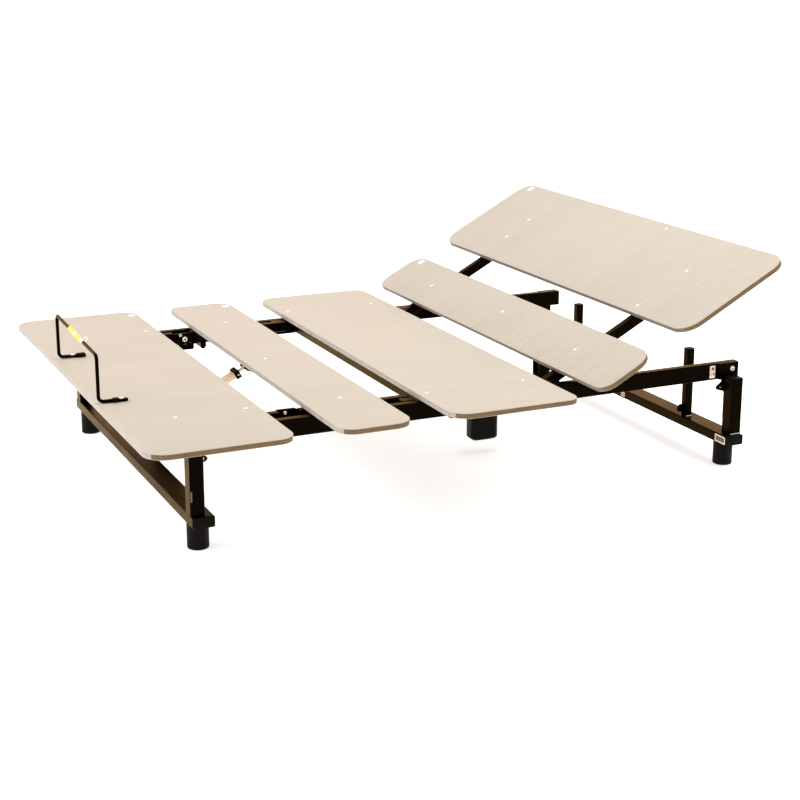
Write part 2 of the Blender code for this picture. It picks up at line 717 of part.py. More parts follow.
# ---------------------------------------------------------------- actuators
def lean(bm, x, angle):
    """Turns a shape built along +Y up to the actuator's angle and puts it in its plane."""
    bmesh.ops.transform(bm, matrix=Matrix.Translation((x, 0, 0)) @ Matrix.Rotation(angle, 4, "X"),
                        verts=bm.verts)


def actuator(name, x, anchor, reach, angle, shell, travel, motor, collar):
    """Motor, flat outer tube, end clamp and spindle of a linear actuator, at an angle from its anchor."""
    def part(node, build, look, smooth=False):
        return finish(f"{name}_{node}", from_bmesh(leaning(build)), look, anchor, smooth=smooth)

    def join(obj, node, build, operation="UNION"):
        cut(obj, f"{name}_{node}", leaning(build), operation)

    def leaning(build):
        def fill(bm):
            build(bm)
            lean(bm, x, angle)
        return fill

    box = part("motor", lambda bm: prism(
        bm, "Y", (0, 0, 0), (0.032, shell[0] + 0.020), rounded(0.048, 0.044, 0.008, 3), 0.002),
        "housing")
    neck = [(0, -0.010), (0.040, -0.010), (0.040, 0.010), (0, 0.010)]
    join(box, "neck", lambda bm: prism(bm, "X", (0, 0, 0), (-0.010, 0.010), neck))
    join(box, "eye", lambda bm: prism(bm, "X", (0, 0, 0), (-0.011, 0.011), circle(0.013, 16)))
    join(box, "eye_hole", lambda bm: prism(
        bm, "X", (0, 0, 0), (-0.03, 0.03), circle(ACTUATOR_HOLE_R, 16)), "DIFFERENCE")
    cut(box, f"{name}_case", motor, "UNION")
    socket = rounded(SHELL[0] + 2 * WELD_GAP, SHELL[1] + 2 * WELD_GAP, TUBE_ROUND, 2)
    join(box, "socket", lambda bm: prism(
        bm, "Y", (0, 0, 0), (shell[0] - WELD_GAP, shell[1]), socket), "DIFFERENCE")

    part("shell", lambda bm: tube(bm, "Y", (0, 0, 0), shell, *SHELL), "cream")

    end = shell[1] + WELD_GAP
    wide, tall, length = collar
    wall = (tall - SHELL[1]) / 2 - WELD_GAP
    clamp = part("clamp", lambda bm: tube(
        bm, "Y", (0, 0, 0), (end - length, end + 0.001), wide, tall, wall), "housing")
    guide = (circle(SPINDLE_R + 2 * WELD_GAP, 20),)
    join(clamp, "clamp_front", lambda bm: sheet(
        bm, "Y", (0, 0, 0), (end, end + 0.003), rounded(wide, tall, TUBE_ROUND, 2), guide))

    start = shell[0] + 0.002 - travel[0]
    bar = part("spindle", lambda bm: prism(
        bm, "Y", (0, 0, 0), (start, reach - 0.006), circle(SPINDLE_R, 20)), "rod")
    ends = CRANK_GAP + CRANK_THICK + 0.003
    join(bar, "front_eye", lambda bm: prism(
        bm, "X", (0, reach, 0), (-0.012, 0.012), circle(0.0098, 16)))
    join(bar, "front_pin", lambda bm: prism(
        bm, "X", (0, reach, 0), (-ends, ends), circle(ACTUATOR_PIN_R, 16)))


def actuators():
    anchor = Vector((0, along(BACK_ANCHOR[0]), deck(BACK_ANCHOR[1])))
    span = back_at(*BACK_CRANK) - anchor
    low = deck(MOTOR_LOW) - anchor.z

    def hanging(bm):
        prism(bm, "Z", (BACK_ACTUATOR_X, 0.112, 0), (low, 0.030),
              rounded(0.062, 0.090, 0.020, 4), 0.006)

    actuator("back", BACK_ACTUATOR_X, anchor, span.length, math.atan2(span.z, span.y),
             BACK_SHELL, BACK_TRAVEL, hanging, BACK_CLAMP)
    anchor = Vector((0, along(LEG_ANCHOR[0]), deck(LEG_ANCHOR[1])))
    span = Vector((0, along(LEG_CRANK[0]), deck(LEG_CRANK[1]))) - anchor
    high = deck(LEG_MOTOR_HIGH) - anchor.z

    def standing(bm):
        prism(bm, "Z", (LEG_ACTUATOR_X, 0.075, 0), (0.010, high),
              rounded(0.062, 0.090, 0.020, 4), 0.006)

    actuator("leg", LEG_ACTUATOR_X, anchor, span.length, math.atan2(span.z, span.y),
             LEG_SHELL, LEG_TRAVEL, standing, LEG_CLAMP)


for old in list(bpy.data.objects):
    bpy.data.objects.remove(old, do_unlink=True)
deck_panels()
fixed_base()
back_section()
thigh_section()
foot_section()
for side, sign in SIDES:
    lower_link(side, sign)
actuators()
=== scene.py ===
"""Looks of the adjustable bed base: camera, light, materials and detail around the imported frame.

Metres, +Z up, in the frame of the CAD model: +Y runs to the head end and +X is the near side.
"""

import json
import math

import bmesh
import bpy
from mathutils import Matrix, Vector


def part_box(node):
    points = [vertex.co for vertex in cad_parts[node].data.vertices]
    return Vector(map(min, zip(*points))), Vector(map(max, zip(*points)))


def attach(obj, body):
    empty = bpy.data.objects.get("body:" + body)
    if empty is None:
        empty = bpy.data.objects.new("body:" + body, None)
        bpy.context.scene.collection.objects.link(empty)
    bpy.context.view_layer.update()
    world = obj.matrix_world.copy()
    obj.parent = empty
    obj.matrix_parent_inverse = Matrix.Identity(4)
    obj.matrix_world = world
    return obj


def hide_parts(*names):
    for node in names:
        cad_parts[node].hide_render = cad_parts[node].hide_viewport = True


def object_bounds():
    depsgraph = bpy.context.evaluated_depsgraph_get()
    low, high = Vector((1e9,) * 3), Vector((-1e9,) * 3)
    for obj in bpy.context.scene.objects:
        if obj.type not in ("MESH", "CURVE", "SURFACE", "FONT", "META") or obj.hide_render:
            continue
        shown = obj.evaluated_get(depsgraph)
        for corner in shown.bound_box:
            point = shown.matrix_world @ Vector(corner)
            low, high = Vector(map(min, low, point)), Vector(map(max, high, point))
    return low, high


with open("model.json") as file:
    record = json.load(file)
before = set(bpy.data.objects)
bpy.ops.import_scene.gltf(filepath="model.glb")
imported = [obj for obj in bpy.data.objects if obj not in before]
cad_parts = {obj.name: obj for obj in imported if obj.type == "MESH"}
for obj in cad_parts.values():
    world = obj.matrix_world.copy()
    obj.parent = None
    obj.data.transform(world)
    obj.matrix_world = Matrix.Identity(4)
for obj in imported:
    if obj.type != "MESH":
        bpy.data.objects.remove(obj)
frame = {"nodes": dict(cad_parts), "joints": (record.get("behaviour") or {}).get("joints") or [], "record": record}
CAD_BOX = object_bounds()
NODES = frame["nodes"]
JOINTS = {joint["name"]: joint for joint in frame["joints"]}

# ---------------------------------------------------------------- driving dimensions
HALF_LENGTH = -CAD_BOX[0].y
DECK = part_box("seat_panel")[1].z
BACK_REST = math.radians(28)
BACK_AT = Vector(JOINTS["back_hinge"]["pos_m"])
BACK = Matrix.Translation(BACK_AT) @ Matrix.Rotation(BACK_REST, 4, "X")
LEVEL = Matrix.Identity(4)
SIDES = (("near", 1), ("far", -1))


# ---------------------------------------------------------------- materials
def fill_ramp(made, stops):
    """Sets the stops of a colour ramp node, each (position, colour), and gives its output."""
    line = made.color_ramp.elements
    while len(line) < len(stops):
        line.new(0.5)
    for element, (position, colour) in zip(line, stops):
        element.position = position
        element.color = (*colour, 1)
    return made.outputs["Color"]


class Surface:
    """A material and the few kinds of node that the surfaces here are made of."""

    def __init__(self, name, rough, metallic=0.0, specular=0.5):
        self.material = bpy.data.materials.new(name)
        self.material.use_nodes = True
        self.tree = self.material.node_tree
        self.shader = self.tree.nodes["Principled BSDF"]
        self.shader.inputs["Roughness"].default_value = rough
        self.shader.inputs["Metallic"].default_value = metallic
        self.shader.inputs["Specular IOR Level"].default_value = specular
        self.place = self.tree.nodes.new("ShaderNodeTexCoord").outputs["Object"]

    def node(self, kind, inputs=None, **settings):
        made = self.tree.nodes.new(kind)
        for key, value in settings.items():
            setattr(made, key, value)
        for key, value in (inputs or {}).items():
            if isinstance(value, bpy.types.NodeSocket):
                self.tree.links.new(value, made.inputs[key])
            else:
                made.inputs[key].default_value = value
        return made

    def stretched(self, scale):
        mapping = self.node("ShaderNodeMapping", {"Vector": self.place, "Scale": scale})
        return mapping.outputs["Vector"]

    def noise(self, scale, detail=4.0, rough=0.55, vector=None):
        made = self.node("ShaderNodeTexNoise", {"Vector": vector or self.place, "Scale": scale,
                                                "Detail": detail, "Roughness": rough})
        return made.outputs["Fac"]

    def ramp(self, value, stops):
        return fill_ramp(self.node("ShaderNodeValToRGB", {"Fac": value}), stops)

    def mix(self, factor, first, second, blend="MIX"):
        made = self.node("ShaderNodeMix", data_type="RGBA", blend_type=blend)
        for key, value in ((0, factor), (6, first), (7, second)):
            if isinstance(value, bpy.types.NodeSocket):
                self.tree.links.new(value, made.inputs[key])
            else:
                made.inputs[key].default_value = value if key == 0 else (*value, 1)
        return made.outputs[2]

    def spread(self, value, low, high):
        made = self.node("ShaderNodeMapRange", {"Value": value, "From Min": 0.3, "From Max": 0.7,
                                                "To Min": low, "To Max": high})
        return made.outputs["Result"]

    def colour(self, value):
        self.tree.links.new(value, self.shader.inputs["Base Color"])

    def rough(self, value, low, high):
        self.tree.links.new(self.spread(value, low, high), self.shader.inputs["Roughness"])

    def bump(self, value, depth, strength=1.0):
        made = self.node("ShaderNodeBump", {"Height": value, "Distance": depth,
                                            "Strength": strength})
        self.tree.links.new(made.outputs["Normal"], self.shader.inputs["Normal"])


def laminate(name, tone, streaks):
    """Pale wood-print laminate: faint broken grain lines that run along the board's length."""
    made = Surface(name, 0.46, specular=0.22)
    grain = made.noise(1.0, 5.0, 0.6, made.stretched((110, 6, 60)))
    cloud = made.noise(1.0, 3.0, 0.5, made.stretched((7, 1.6, 6)))
    pores = made.noise(1.0, 2.0, 0.6, made.stretched((520, 36, 300)))
    base = made.ramp(cloud, ((0.30, tuple(0.95 * part for part in tone)), (0.70, tone)))
    lines = made.ramp(grain, ((0.36, (0.86, 0.845, 0.83)), (0.58, (1.0, 1.0, 1.0))))
    base = made.mix(streaks, base, lines, "MULTIPLY")
    dots = made.ramp(pores, ((0.30, (0.86, 0.84, 0.82)), (0.42, (1.0, 1.0, 1.0))))
    made.colour(made.mix(streaks * 0.7, base, dots, "MULTIPLY"))
    made.rough(grain, 0.42, 0.54)
    made.bump(grain, 0.00015, 0.2)
    return made.material


def board_edge(name, tone):
    """Cut edge of the board: compressed layers with darker streaks."""
    made = Surface(name, 0.6, specular=0.2)
    layers = made.noise(1.0, 5.0, 0.6, made.stretched((12, 12, 500)))
    blotch = made.noise(34.0, 4.0, 0.6)
    base = made.ramp(layers, ((0.32, tuple(0.72 * part for part in tone)), (0.68, tone)))
    dirt = made.ramp(blotch, ((0.30, (0.74, 0.71, 0.68)), (0.60, (1.0, 1.0, 1.0))))
    made.colour(made.mix(0.6, base, dirt, "MULTIPLY"))
    made.rough(blotch, 0.5, 0.75)
    made.bump(layers, 0.0003, 0.4)
    return made.material


def powder_coat():
    """Near-black satin coat that turns brown at a glancing angle, with a fine orange peel."""
    made = Surface("powder_coat", 0.34, metallic=1.0)
    made.shader.inputs["Specular Tint"].default_value = (0.88, 0.74, 0.58, 1)
    peel = made.noise(900.0, 2.0, 0.5)
    cloud = made.noise(7.0, 4.0, 0.6)
    made.colour(made.ramp(cloud, ((0.30, (0.0022, 0.0014, 0.0008)),
                                  (0.72, (0.0042, 0.0027, 0.0015)))))
    made.rough(cloud, 0.26, 0.38)
    made.bump(peel, 0.0001, 0.3)
    return made.material


def plastic(name, colour, rough, grain=1400.0, specular=0.35):
    """Moulded plastic: even colour with a fine spark-eroded grain."""
    made = Surface(name, rough, specular=specular)
    fine = made.noise(grain, 2.0, 0.5)
    cloud = made.noise(11.0, 3.0, 0.5)
    low = tuple(part * 0.85 for part in colour)
    high = tuple(min(part * 1.15, 1.0) for part in colour)
    made.colour(made.ramp(cloud, ((0.3, low), (0.7, high))))
    made.rough(cloud, rough * 0.85, min(rough * 1.2, 1.0))
    made.bump(fine, 0.00008, 0.4)
    return made.material


def metal(name, colour, rough, metallic):
    """Plated or ground steel with fine scratches and a slight tarnish."""
    made = Surface(name, rough, metallic=metallic)
    lines = made.noise(1.0, 4.0, 0.6, made.stretched((220, 44, 220)))
    cloud = made.noise(26.0, 4.0, 0.6)
    low = tuple(part * 0.80 for part in colour)
    made.colour(made.ramp(cloud, ((0.3, low), (0.68, colour))))
    made.rough(lines, rough * 0.7, rough * 1.35)
    made.bump(lines, 0.00008, 0.3)
    return made.material


LAMINATE = laminate("laminate", (0.526, 0.464, 0.384), 0.40)
# Darker copy of the laminate for the tilted back boards: painted shade.
LAMINATE_BACK_PAINTED_SHADE = laminate("laminate_back_painted_shade", (0.490, 0.438, 0.362), 0.50)
# One board edge in two tones: the pale cut ends are painted light from the foot side, and the dark brown cut sides
# are painted shade.
EDGE_SIDE_PAINTED_SHADE = board_edge("board_edge_side_painted_shade", (0.215, 0.145, 0.070))
EDGE_END_PAINTED_LIGHT = board_edge("board_edge_end_painted_light", (0.500, 0.465, 0.425))
# Darker copy of the cut-end look for the back boards: painted shade.
EDGE_END_BACK_PAINTED_SHADE = board_edge("board_edge_end_back_painted_shade", (0.215, 0.185, 0.160))
COAT = powder_coat()
ZINC = metal("zinc_plate", (0.98, 0.95, 0.88), 0.36, 0.20)
# Dark tan for the floor of bolt-head recesses: painted shade.
RECESS_PAINTED_SHADE = plastic("bolt_recess_painted_shade", (0.10, 0.075, 0.05), 0.6)
GROUND = metal("ground_steel", (0.95, 0.88, 0.76), 0.30, 0.25)
BLACK_CAP = plastic("black_plastic", (0.0030, 0.0021, 0.0016), 0.42, specular=0.06)
FOOT_PLASTIC = plastic("foot_plastic", (0.0040, 0.0030, 0.0024), 0.5, specular=0.08)
GLOSS_BLACK = plastic("gloss_black", (0.0025, 0.0018, 0.0014), 0.22, grain=500.0,
                      specular=0.08)
CREAM = plastic("cream_paint", (0.88, 0.68, 0.44), 0.30)
PAPER = plastic("label_paper", (0.86, 0.74, 0.61), 0.6)
INK = plastic("label_ink", (0.16, 0.12, 0.09), 0.6)
# Pale grey for weld beads that catch the light: painted highlight.
SEAM_PAINTED_HIGHLIGHT = plastic("seam_painted_highlight", (0.80, 0.77, 0.74), 0.4)
WHITE_TAPE = plastic("white_tape", (0.90, 0.89, 0.90), 0.5)
YELLOW_TAPE = plastic("yellow_tape", (0.95, 0.86, 0.03), 0.45)


# ---------------------------------------------------------------- CAD nodes that stay
BROKEN_CORNER = 0.0008


def keep(node, look):
    """A CAD node that is shown as it is, with its corners broken and its own material."""
    obj = NODES[node]
    obj.data.materials.clear()
    obj.data.materials.append(look)
    if "custom_normal" in obj.data.attributes:
        obj.data.attributes.remove(obj.data.attributes["custom_normal"])
    obj.data.shade_smooth()
    weld = obj.modifiers.new("weld", "WELD")
    weld.merge_threshold = 0.00002
    bevel = obj.modifiers.new("corners", "BEVEL")
    bevel.width = BROKEN_CORNER
    bevel.segments = 2
    bevel.limit_method = "ANGLE"
    bevel.angle_limit = math.radians(40)
    bevel.use_clamp_overlap = True
    obj.modifiers.new("normals", "WEIGHTED_NORMAL").keep_sharp = True


SLOT_LOOKS = {
    "panel": LAMINATE, "frame_steel": COAT, "zinc": ZINC, "leg_pad": FOOT_PLASTIC,
    "motor_housing": GLOSS_BLACK, "actuator_tube": CREAM, "spindle": GROUND,
}
DARK_NODES = ("back_clamp", "back_spindle", "leg_clamp")     # drawn in the frame's coat in place of their slot's look
for part in frame["record"]["subparts"]:
    dark = part["node"] in DARK_NODES
    keep(part["node"], COAT if dark else SLOT_LOOKS[part["material_slot"]])


# ---------------------------------------------------------------- shapes
def along(station):
    """Y of a station, which is the distance from the foot edge of the foot panel."""
    return station - HALF_LENGTH


def facing(way, at, base=LEVEL):
    """Placing whose local Z points along way, with local Y upward where it can."""
    normal = Vector(way).normalized()
    up = Vector((0, 0, 1)) if abs(normal.z) < 0.5 else Vector((0, 1, 0))
    side = up.cross(normal).normalized()
    up = normal.cross(side)
    return base @ Matrix.Translation(at) @ Matrix((side, up, normal)).transposed().to_4x4()


def piece(name, build, looks, body, place=LEVEL, stands_for=(), angle=40):
    """A mesh that rides on a CAD body."""
    looks = looks if isinstance(looks, tuple) else (looks,)
    mesh = bpy.data.meshes.new(name)
    bm = bmesh.new()
    build(bm)
    bmesh.ops.recalc_face_normals(bm, faces=bm.faces)
    bm.to_mesh(mesh)
    bm.free()
    for look in looks:
        mesh.materials.append(look)
    mesh.shade_smooth()
    mesh.set_sharp_from_angle(angle=math.radians(angle))
    obj = bpy.data.objects.new(name, mesh)
    obj.matrix_world = place
    bpy.context.scene.collection.objects.link(obj)
    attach(obj, body)
    if stands_for:
        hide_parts(*stands_for)
    return obj


def rounded(width, height, radius, steps=6, centre=(0, 0)):
    """Outline of a rounded rectangle, anticlockwise from the upper right corner.

    The radius is one number, or one for each corner in that order."""
    radii = radius if isinstance(radius, tuple) else (radius,) * 4
    points = []
    for corner, (sx, sy) in enumerate(((1, 1), (-1, 1), (-1, -1), (1, -1))):
        r = radii[corner]
        for step in range(steps + 1):
            turn = math.pi / 2 * (corner + step / steps)
            points.append((centre[0] + sx * (width / 2 - r) + r * math.cos(turn),
                           centre[1] + sy * (height / 2 - r) + r * math.sin(turn)))
    return points


def inset(outline, by):
    """The outline moved inward along the bisector at each point."""
    moved = []
    for i, point in enumerate(outline):
        here = Vector(point)
        before = (here - Vector(outline[i - 1])).normalized()
        after = (Vector(outline[(i + 1) % len(outline)]) - here).normalized()
        way = (before + after).normalized()
        moved.append((here.x - way.y * by, here.y + way.x * by))
    return moved


def loft(bm, rings, slots=None):
    """Skin of quads between rings of points. Each band can have a material slot of its own."""
    rows = [[bm.verts.new(point) for point in ring] for ring in rings]
    for number, (low, high) in enumerate(zip(rows, rows[1:])):
        for i in range(len(low)):
            j = (i + 1) % len(low)
            face = bm.faces.new((low[i], low[j], high[j], high[i]))
            face.material_index = slots[number] if slots else 0
    return rows


def slab(bm, outline, low, high, arris, steps=3, edge=0):
    """Flat body of an outline with rounded arrises. Its flat edge takes the material slot edge."""
    levels = []
    for step in range(steps + 1):
        turn = math.pi / 2 * step / steps
        levels.append((arris * (1 - math.sin(turn)), low + arris * (1 - math.cos(turn))))
    levels += [(back, low + high - level) for back, level in reversed(levels)]
    rings = [[(u, v, level) for u, v in inset(outline, back)] for back, level in levels]
    slots = [edge if step == steps else 0 for step in range(len(levels) - 1)]
    rows = loft(bm, rings, slots)
    bm.faces.new(rows[0])
    bm.faces.new(rows[-1])


def turned(bm, profile, steps=28, inner=0):
    """Body of revolution about local Z: the profile runs from axis to axis as (radius, height).

    The faces up to profile point number inner take the second material."""
    rings = []
    for radius, level in profile[1:-1]:
        turns = [2 * math.pi * step / steps for step in range(steps)]
        rings.append([(radius * math.cos(turn), radius * math.sin(turn), level) for turn in turns])
    rows = loft(bm, rings, [int(number + 1 < inner) for number in range(len(rings) - 1)])
    for row, (_, level), second in ((rows[0], profile[0], inner > 0), (rows[-1], profile[-1], 0)):
        tip = bm.verts.new((0, 0, level))
        for i in range(steps):
            bm.faces.new((row[i], row[(i + 1) % steps], tip)).material_index = int(second)


def sweep(bm, points, radius, sides):
    """Round bar through a line of points."""
    points = [Vector(point) for point in points]
    ways = [(b - a).normalized() for a, b in zip(points, points[1:])]
    across = ways[0].orthogonal().normalized()
    rings = []
    for i, point in enumerate(points):
        mean = (ways[max(i - 1, 0)] + ways[min(i, len(ways) - 1)]).normalized()
        across = (across - mean * across.dot(mean)).normalized()
        other = mean.cross(across)
        rings.append([point + (across * math.cos(2 * math.pi * side / sides)
                               + other * math.sin(2 * math.pi * side / sides)) * radius
                      for side in range(sides)])
    rows = loft(bm, rings)
    bm.faces.new(rows[0])
    bm.faces.new(rows[-1])


# ---------------------------------------------------------------- boards
BOARD = 0.015
BOARD_WIDE = 1.500
BOARD_ARRIS = 0.0012
BACK_LEVEL = 0.032               # board surface above the hinge in the back section's own frame
# Name, edges, corner radii from the near head corner round to the near foot corner, and the CAD
# nodes. The edges are stations for the flat boards, and distances from the hinge for the back.
FLAT_BOARDS = (
    ("foot_board", 0.000, 0.387, (0.050, 0.050, 0.060, 0.060), "foot_section", "foot_panel"),
    ("thigh_board", 0.505, 0.711, (0.055, 0.055, 0.045, 0.045), "thigh_section", "thigh_panel"),
    ("seat_board", 0.822, 1.206, (0.040, 0.040, 0.060, 0.060), "base", "seat_panel"),
)
BACK_BOARDS = (
    ("lumbar_board", 0.0366, 0.2192, (0.060, 0.060, 0.045, 0.045), "lumbar_panel"),
    ("head_board", 0.3282, 0.7112, (0.055, 0.055, 0.060, 0.060), "head_panel"),
)


def board(name, low, high, corners, body, node, top, place, looks):
    """Board with one look for its faces, one for the cut ends and one for the cut sides. The cut ends take a pale
    copy of the edge, painted light, and the cut sides a dark brown copy, painted shade.
    """
    outline = rounded(BOARD_WIDE, high - low, corners, 14, (0, (low + high) / 2))

    def build(bm):
        slab(bm, outline, top - BOARD, top, BOARD_ARRIS, 3, 1)
        bm.normal_update()
        for face in bm.faces:
            # cut faces that do not face along the board take the dark brown copy, painted shade
            if face.material_index == 1 and abs(face.normal.y) < 0.8:
                face.material_index = 2

    piece(name, build, (*looks, EDGE_SIDE_PAINTED_SHADE), body, place, (node,), 50)


def boards():
    for name, low, high, corners, body, node in FLAT_BOARDS:
        board(name, along(low), along(high), corners, body, node, DECK, LEVEL, (LAMINATE, EDGE_END_PAINTED_LIGHT))
    for name, low, high, corners, node in BACK_BOARDS:
        # the back boards take the darker copies, painted shade
        board(name, low, high, corners, "back_section", node, BACK_LEVEL, BACK,
              (LAMINATE_BACK_PAINTED_SHADE, EDGE_END_BACK_PAINTED_SHADE))


# ---------------------------------------------------------------- bolts
def bolt_head(bm, radius, tall, recess=0.34):
    """Domed head with a round recess, standing on local Z = 0."""
    dip = tall * 0.45
    turned(bm, [
        (0, dip), (radius * recess * 0.9, dip), (radius * recess, tall * 0.93),
        (radius * (recess + 0.08), tall), (radius * 0.66, tall * 0.94),
        (radius * 0.88, tall * 0.70), (radius * 0.98, tall * 0.34),
        (radius, 0), (0, -0.0004),
    ], inner=2)


# The recess faces take dimple, by default the dark tan of painted shade.
def bolt(name, way, at, radius, tall, body, base=LEVEL, dimple=RECESS_PAINTED_SHADE, look=ZINC):
    piece(name, lambda bm: bolt_head(bm, radius, tall), (look, dimple), body,
          facing(way, at, base), angle=50)


BOARD_BOLT_R = 0.0057
BOARD_BOLT_TALL = 0.0026


def board_bolts():
    up = (0, 0, 1)
    spots = [
        ("foot_section", 0.463, 0.1558), ("foot_section", 0.463, 0.3488),
        ("thigh_section", 0.473, 0.6138), ("base", 0.527, 0.8478), ("base", 0.527, 1.1478),
    ]
    for number, (body, x, station) in enumerate(spots):
        for side, sign in SIDES:
            bolt(f"board_bolt_{number}_{side}", up, (sign * x, along(station), DECK), BOARD_BOLT_R,
                 BOARD_BOLT_TALL, body, dimple=ZINC)
    bolt("board_bolt_thigh_middle", up, (0.005, along(0.5728), DECK), BOARD_BOLT_R,
         BOARD_BOLT_TALL, "thigh_section", dimple=ZINC)
    back = [(0.472, 0.1234), (-0.472, 0.1234), (0.0, 0.1424), (0.471, 0.3584), (0.4735, 0.5454),
            (-0.461, 0.4394), (-0.4735, 0.5454), (0.176, 0.6874)]
    for number, (x, y) in enumerate(back):
        bolt(f"back_bolt_{number}", up, (x, y, BACK_LEVEL), BOARD_BOLT_R, BOARD_BOLT_TALL,
             "back_section", BACK, ZINC)


# ---------------------------------------------------------------- frame detail
# X is measured from the middle of the bed, and AT and END along it are stations
ENDS = (("foot", -1), ("head", 1))
RAIL_OUT = 0.540
RAIL_TOP = 0.0195                # below the deck
RAIL_WIDE, RAIL_TALL = 0.025, 0.050
RAIL_END = {"foot": 0.150, "head": 1.870}
POST_IN, POST_OUT = 0.547, 0.590
POST_WIDE, POST_LONG = 0.043, 0.039
POST_MID = (POST_IN + POST_OUT) / 2
POST_AT = {"foot": 0.180 - 0.011, "head": 1.828 + 0.011}
BAR_AT = {"foot": 0.180, "head": 1.828}
BAR_END = 0.600
BAR_WIDE, BAR_TALL = 0.060, 0.030
BAR_TOP = 0.100                  # above the floor
PLATE_OUT = 0.5465
STUB = 0.025
STUB_X = {"near": 0.367, "far": -0.290}
STUB_AT = 1.8178
ARM_X = 0.4725
ARM_WIDE, ARM_TALL = 0.025, 0.030
ARM_CAP = 0.002
CROSS_TUBE_AT = {"foot": 0.876, "head": 1.100}
CROSS_TUBE_HALF = 0.0195
SEAM_RISE = 0.0012               # middle of a bead above the bar
FOOT_X = 0.548
STICKER_X, STICKER = -0.692, 0.022


PLUG_LESS = 0.0046               # the plug of a cap is this much smaller than its plate
PLUG_DEEP = 0.008


def cap(name, way, at, wide, tall, thick, body="base", base=LEVEL, corner=0.0035):
    """Black plastic end cap: a rounded plate with a plug that goes into the tube."""
    def build(bm):
        slab(bm, rounded(wide, tall, corner, 5), 0.0001, thick, min(0.0016, thick * 0.45))
        slab(bm, rounded(wide - PLUG_LESS, tall - PLUG_LESS, 0.0015, 3), -PLUG_DEEP, 0.0003,
             0.0002, 1)

    piece(name, build, BLACK_CAP, body, facing(way, at, base))


def base_caps():
    for side, sign in SIDES:
        for end, toward in ENDS:
            cap(f"bar_cap_{end}_{side}", (sign, 0, 0),
                (sign * BAR_END, along(BAR_AT[end]), BAR_TOP - BAR_TALL / 2), BAR_WIDE, BAR_TALL,
                0.0045, corner=0.005)
            cap(f"rail_cap_{end}_{side}", (0, toward, 0),
                (sign * (RAIL_OUT - RAIL_WIDE / 2), along(RAIL_END[end]),
                 DECK - RAIL_TOP - RAIL_TALL / 2), RAIL_WIDE, RAIL_TALL, 0.0025)
            cap(f"post_cap_{end}_{side}", (0, 0, 1),
                (sign * POST_MID, along(POST_AT[end]), DECK - 0.0600), POST_WIDE, POST_LONG,
                0.0018)
        cap(f"stub_cap_{side}", (0, 0, 1), (STUB_X[side], along(STUB_AT), DECK - 0.0155),
            STUB, STUB, 0.0010)


def arm_caps():
    _, knee, _ = JOINTS["knee_hinge"]["pos_m"]
    _, thigh, level = JOINTS["thigh_hinge"]["pos_m"]
    ends = (
        ("foot_arm_cap", -1, knee - 0.400, level, "foot_section", LEVEL),
        ("thigh_arm_cap_foot", -1, thigh - 0.302, level, "thigh_section", LEVEL),
        ("thigh_arm_cap_head", 1, thigh + 0.016, level, "thigh_section", LEVEL),
        ("back_arm_cap_foot", -1, -0.022, 0, "back_section", BACK),
        ("back_arm_cap_head", 1, 0.690, 0, "back_section", BACK),
    )
    for side, sign in SIDES:
        for name, toward, y, z, body, base in ends:
            cap(f"{name}_{side}", (0, toward, 0), (sign * ARM_X, y, z), ARM_WIDE, ARM_TALL,
                ARM_CAP, body, base)


def plate_bolts():
    for side, sign in SIDES:
        for end, toward in ENDS:
            at = (sign * PLATE_OUT, along(POST_AT[end] + toward * 0.009), DECK - 0.0385)
            bolt(f"plate_bolt_{end}_{side}", (sign, 0, 0), at, 0.0076, 0.0040, "base")
            # The head lug rivets take the dark ink colour where the foot ones are zinc: the dark is painted shade
            # on the same rivet.
            lug = (sign * PLATE_OUT, along(POST_AT[end] - toward * 0.0304), DECK - 0.0924)
            bolt(f"lug_rivet_{end}_{side}", (sign, 0, 0), lug, 0.0042, 0.0014, "base",
                 look=ZINC if end == "foot" else INK)


def sticker(name, way, at, wide, tall, marks, body="base", look=None):
    """Blank label with a few plain marks, each of them (x, y, width, height)."""
    place = facing(way, at)
    piece(name, lambda bm: slab(bm, rounded(wide, tall, 0.0015, 4), 0.0001, 0.0004, 0.0001, 1),
          look or PAPER, body, place)
    for number, (x, y, w, h) in enumerate(marks):
        piece(f"{name}_mark{number}", lambda bm: slab(
            bm, rounded(w, h, min(w, h) * 0.2, 3, (x, y)), 0.00045, 0.0006, 0.00005, 1),
            INK, body, place)


def labels():
    sticker("rail_label", (1, 0, 0), (RAIL_OUT, along(1.7817), DECK - 0.0440), 0.0190, 0.038,
            ((0.001, 0.0095, 0.0100, 0.0090), (0.004, -0.0065, 0.0050, 0.0085),
             (-0.005, -0.0065, 0.0018, 0.0110)))
    foot_face = along(BAR_AT["head"] - BAR_WIDE / 2)
    sticker("bar_label", (0, -1, 0), (0.5725, foot_face, BAR_TOP - 0.0155), 0.051, 0.0230,
            ((0.0, 0.0, 0.0420, 0.0145),))
    sticker("bar_note", (0, -1, 0), (0.0360, foot_face, BAR_TOP - 0.0160), 0.022, 0.0150,
            ((-0.004, 0.0, 0.0050, 0.0090), (0.005, 0.0, 0.0040, 0.0090)))
    for name, station, body in (("foot", 0.366, "foot_section"), ("thigh", 0.688, "thigh_section")):
        sticker(f"{name}_board_sticker", (0, 0, 1), (STICKER_X, along(station), DECK), STICKER,
                STICKER, (), body, WHITE_TAPE)
    for name, y in (("lumbar", 0.199), ("head", 0.690)):
        at = BACK @ Vector((STICKER_X, y, BACK_LEVEL))
        sticker(f"{name}_board_sticker", BACK.to_3x3() @ Vector((0, 0, 1)), at, STICKER, STICKER,
                (), "back_section", WHITE_TAPE)
    sticker("post_label", (1, 0, 0), (POST_OUT, along(0.1528), DECK - 0.1767), 0.0045, 0.028,
            ((0.0, 0.006, 0.0022, 0.006), (0.0, -0.005, 0.0022, 0.008)), "base", INK)


